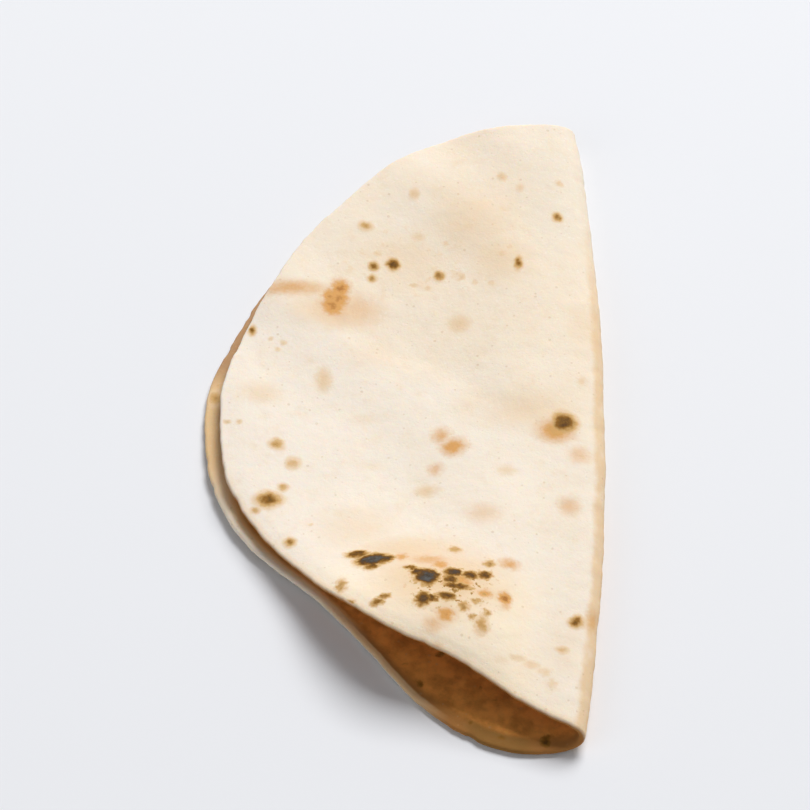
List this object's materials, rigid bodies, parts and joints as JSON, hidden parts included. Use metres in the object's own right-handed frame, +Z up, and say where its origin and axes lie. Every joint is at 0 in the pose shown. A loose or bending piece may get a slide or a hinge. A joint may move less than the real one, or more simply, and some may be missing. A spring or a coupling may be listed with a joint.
{
  "type": "folded chapati flatbread",
  "caption": "Thin round wheat flatbread folded once into a half moon, its near corner lifted, with toasted and charred spots.",
  "frame": {"origin": "on the surface the bread lies on, under the middle of its bounding box", "axes": "+Z up, +Y along the fold away from the lifted corner, +X from the open rim to the fold"},
  "size_m": [0.0938, 0.1854, 0.0163],
  "materials": {
    "bread": "matte cream baked dough, toasted in spots"
  },
  "bodies": {
    "root": {"bread": "bread"}
  },
  "joints": []
}
